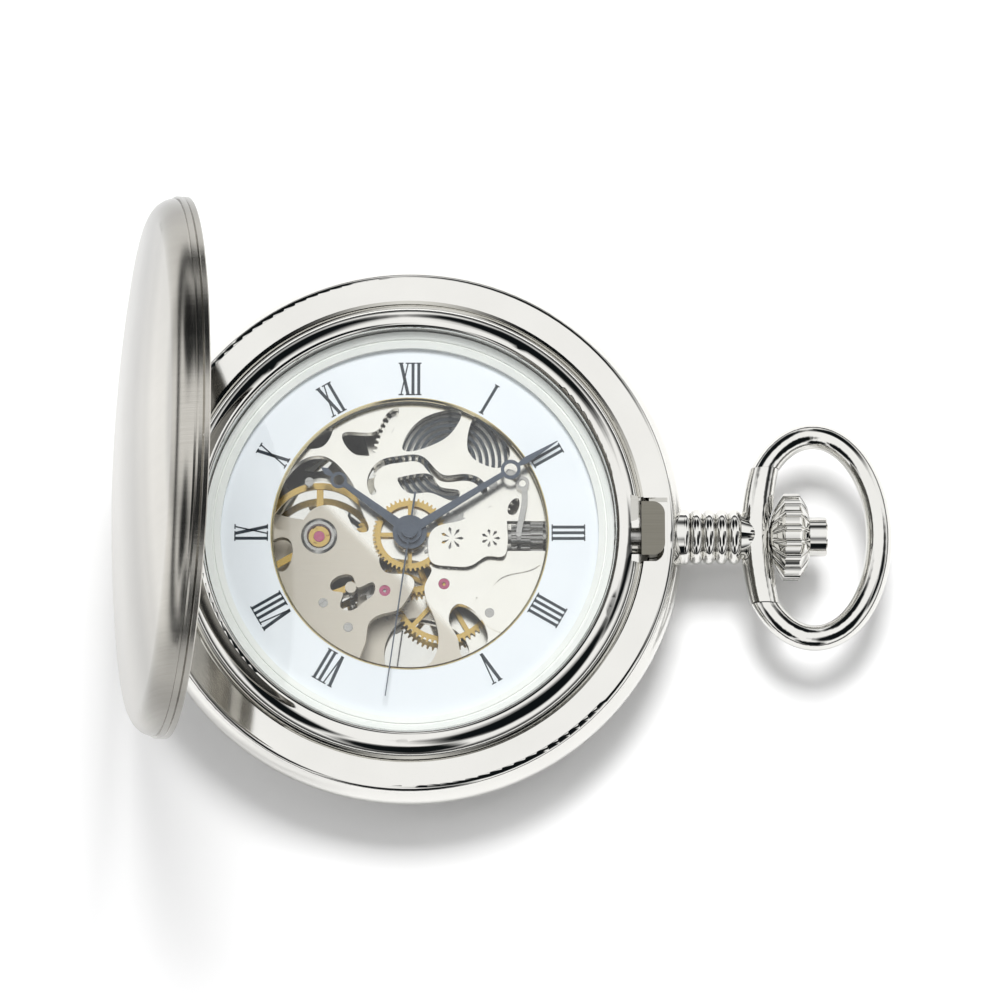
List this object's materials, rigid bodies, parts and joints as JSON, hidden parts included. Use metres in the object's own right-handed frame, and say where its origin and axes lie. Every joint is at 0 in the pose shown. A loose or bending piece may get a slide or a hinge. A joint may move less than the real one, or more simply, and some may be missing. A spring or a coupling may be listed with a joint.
{
  "type": "pocket watch",
  "caption": "Hunter-case pocket watch with a hinged domed cover, pierced dial over a skeleton movement, fluted crown, release button and bow.",
  "frame": {"origin": "centre of the flat back, under the axis of the hands", "axes": "+X towards the crown at three o'clock, +Y towards twelve o'clock, +Z out of the dial"},
  "size_m": [0.0681, 0.048, 0.0546],
  "materials": {
    "case_polished": "mirror polished",
    "cover_satin": "satin brushed dome, polished rim",
    "steel": "ground",
    "plate_nickel": "polished",
    "dark_steel": "oil dark",
    "brass": "gilt",
    "hand_blue": "dark blue-grey",
    "dial_white": "satin lacquer",
    "ring_pale": "gloss",
    "glass": "clear",
    "ruby": "polished"
  },
  "bodies": {
    "case": {"case_middle": "case_polished", "case_back": "case_polished", "bezel": "case_polished", "crystal_ring": "ring_pale", "crystal": "glass", "hinge_pin": "case_polished", "pendant_neck": "case_polished", "pendant_bar": "case_polished", "movement_ring": "steel", "dial": "dial_white", "aperture_ring": "brass", "mainplate": "plate_nickel", "plate_screws": "steel", "plate_jewels": "ruby", "shock_setting": "steel", "jewel_cup": "brass", "balance_jewel": "ruby", "barrel_bridge": "plate_nickel", "train_bridge": "plate_nickel", "balance_cock": "plate_nickel", "bridge_screws": "steel", "hairspring": "dark_steel", "setting_cover": "plate_nickel", "latch_spring": "steel", "lift_spring": "steel"},
    "cover": {"front_cover": "cover_satin"},
    "catch": {"lid_catch": "steel"},
    "bow": {"bow_ring": "case_polished"},
    "winding": {"winding_pinion": "steel"},
    "clutch": {"clutch": "steel"},
    "crown": {"crown": "case_polished", "winding_stem": "steel"},
    "button": {"crown_button": "case_polished"},
    "lever": {"setting_lever": "steel"},
    "yoke": {"yoke": "steel"},
    "crown_wheel": {"crown_wheel": "steel"},
    "ratchet": {"ratchet_wheel": "steel", "barrel_arbor": "steel", "mainspring": "dark_steel"},
    "click": {"click": "steel"},
    "barrel": {"barrel": "plate_nickel"},
    "minutes": {"centre_wheel": "brass", "cannon_pinion": "steel", "minute_hand": "hand_blue"},
    "hours": {"hour_wheel": "brass", "hour_hand": "hand_blue"},
    "minute_wheel": {"minute_wheel": "steel"},
    "setting_wheel": {"setting_wheel": "steel"},
    "third": {"third_wheel": "brass"},
    "seconds": {"seconds_wheel": "brass", "seconds_hand": "hand_blue"},
    "escape": {"escape_wheel": "steel"},
    "fork": {"pallet_fork": "steel", "pallet_jewels": "ruby"},
    "balance": {"balance_wheel": "brass", "balance_staff": "steel"}
  },
  "joints": [
    {"name": "cover_hinge", "type": "hinge", "parent": "case", "child": "cover", "pos_m": [-0.0236, 0, 0.00895], "axis": [0, 1, 0], "range_deg": [0, 79.8], "stiffness_Nm_per_rad": 0.004, "springref_deg": -17.19},
    {"name": "bow_swing", "type": "hinge", "parent": "case", "child": "bow", "pos_m": [0.0312, 0, 0.0055], "axis": [0, 1, 0], "range_deg": [-100, 100]},
    {"name": "crown_spin", "type": "hinge", "parent": "case", "child": "winding", "pos_m": [0.011, 0, 0.0055], "axis": [1, 0, 0], "continuous": true},
    {"name": "crown_pull", "type": "slide", "parent": "winding", "child": "crown", "axis": [1, 0, 0], "range_m": [0, 0.001]},
    {"name": "button_press", "type": "slide", "parent": "crown", "child": "button", "axis": [-1, 0, 0], "range_m": [0, 0.0005], "stiffness_N_per_m": 2000, "springref_m": -0.0002},
    {"name": "clutch_slide", "type": "slide", "parent": "winding", "child": "clutch", "axis": [-1, 0, 0], "range_m": [0, 0.00065]},
    {"name": "lever_swing", "type": "hinge", "parent": "case", "child": "lever", "pos_m": [0.0125, 0.0032, 0.0063], "axis": [0, 0, 1], "range_deg": [0, 17.3]},
    {"name": "yoke_swing", "type": "hinge", "parent": "case", "child": "yoke", "pos_m": [0.0099, 0.0046, 0.0067], "axis": [0, 0, -1], "range_deg": [0, 8.2]},
    {"name": "catch_slide", "type": "slide", "parent": "case", "child": "catch", "axis": [-1, 0, 0], "range_m": [0, 0.0005], "stiffness_N_per_m": 600, "springref_m": -0.0002},
    {"name": "crown_wheel_spin", "type": "hinge", "parent": "case", "child": "crown_wheel", "pos_m": [0.0113, 0.0021, 0.004], "axis": [0, 0, 1], "continuous": true},
    {"name": "ratchet_spin", "type": "hinge", "parent": "case", "child": "ratchet", "pos_m": [0.0035, 0.0071, 0.004], "axis": [0, 0, 1], "continuous": true},
    {"name": "click_swing", "type": "hinge", "parent": "case", "child": "click", "pos_m": [-0.00141, 0.01195, 0.00125], "axis": [0, 0, 1], "range_deg": [0, 12], "stiffness_Nm_per_rad": 0.0001, "springref_deg": -2.86},
    {"name": "barrel_spin", "type": "hinge", "parent": "case", "child": "barrel", "pos_m": [0.0035, 0.0071, 0.004], "axis": [0, 0, 1], "continuous": true},
    {"name": "seconds_spin", "type": "hinge", "parent": "case", "child": "seconds", "pos_m": [0, 0, 0.004], "axis": [0, 0, 1], "continuous": true},
    {"name": "minutes_spin", "type": "hinge", "parent": "case", "child": "minutes", "pos_m": [0, 0, 0.004], "axis": [0, 0, 1], "continuous": true},
    {"name": "hours_spin", "type": "hinge", "parent": "case", "child": "hours", "pos_m": [0, 0, 0.0065], "axis": [0, 0, 1], "continuous": true},
    {"name": "minute_wheel_spin", "type": "hinge", "parent": "case", "child": "minute_wheel", "pos_m": [0.0037, -0.0004, 0.0061], "axis": [0, 0, 1], "continuous": true},
    {"name": "setting_wheel_spin", "type": "hinge", "parent": "case", "child": "setting_wheel", "pos_m": [0.0071, -0.0004, 0.0061], "axis": [0, 0, 1], "continuous": true},
    {"name": "third_spin", "type": "hinge", "parent": "case", "child": "third", "pos_m": [0.003, -0.0043, 0.004], "axis": [0, 0, 1], "continuous": true},
    {"name": "escape_spin", "type": "hinge", "parent": "case", "child": "escape", "pos_m": [-0.0022, -0.0049, 0.004], "axis": [0, 0, 1], "continuous": true},
    {"name": "fork_swing", "type": "hinge", "parent": "case", "child": "fork", "pos_m": [-0.0052, -0.0046, 0.004], "axis": [0, 0, 1], "range_deg": [-5, 5]},
    {"name": "balance_swing", "type": "hinge", "parent": "case", "child": "balance", "pos_m": [-0.008, 0, 0.004], "axis": [0, 0, 1], "range_deg": [-270, 270], "stiffness_Nm_per_rad": 0.000001}
  ],
  "couplings": [
    {"joint": "catch_slide", "follows": "button_press", "ratio": 1},
    {"joint": "clutch_slide", "follows": "crown_pull", "ratio": 0.65},
    {"joint": "lever_swing", "follows": "crown_pull", "rad_per_m": 300},
    {"joint": "yoke_swing", "follows": "crown_pull", "rad_per_m": 141},
    {"joint": "crown_wheel_spin", "follows": "crown_spin", "ratio": 0.6},
    {"joint": "ratchet_spin", "follows": "crown_spin", "ratio": -0.32},
    {"joint": "minutes_spin", "follows": "seconds_spin", "ratio": 0.016667},
    {"joint": "third_spin", "follows": "seconds_spin", "ratio": -0.13333},
    {"joint": "escape_spin", "follows": "seconds_spin", "ratio": -10},
    {"joint": "barrel_spin", "follows": "seconds_spin", "ratio": -0.0029167},
    {"joint": "minute_wheel_spin", "follows": "seconds_spin", "ratio": -0.0083333},
    {"joint": "setting_wheel_spin", "follows": "seconds_spin", "ratio": 0.022222},
    {"joint": "hours_spin", "follows": "seconds_spin", "ratio": 0.0013889}
  ]
}
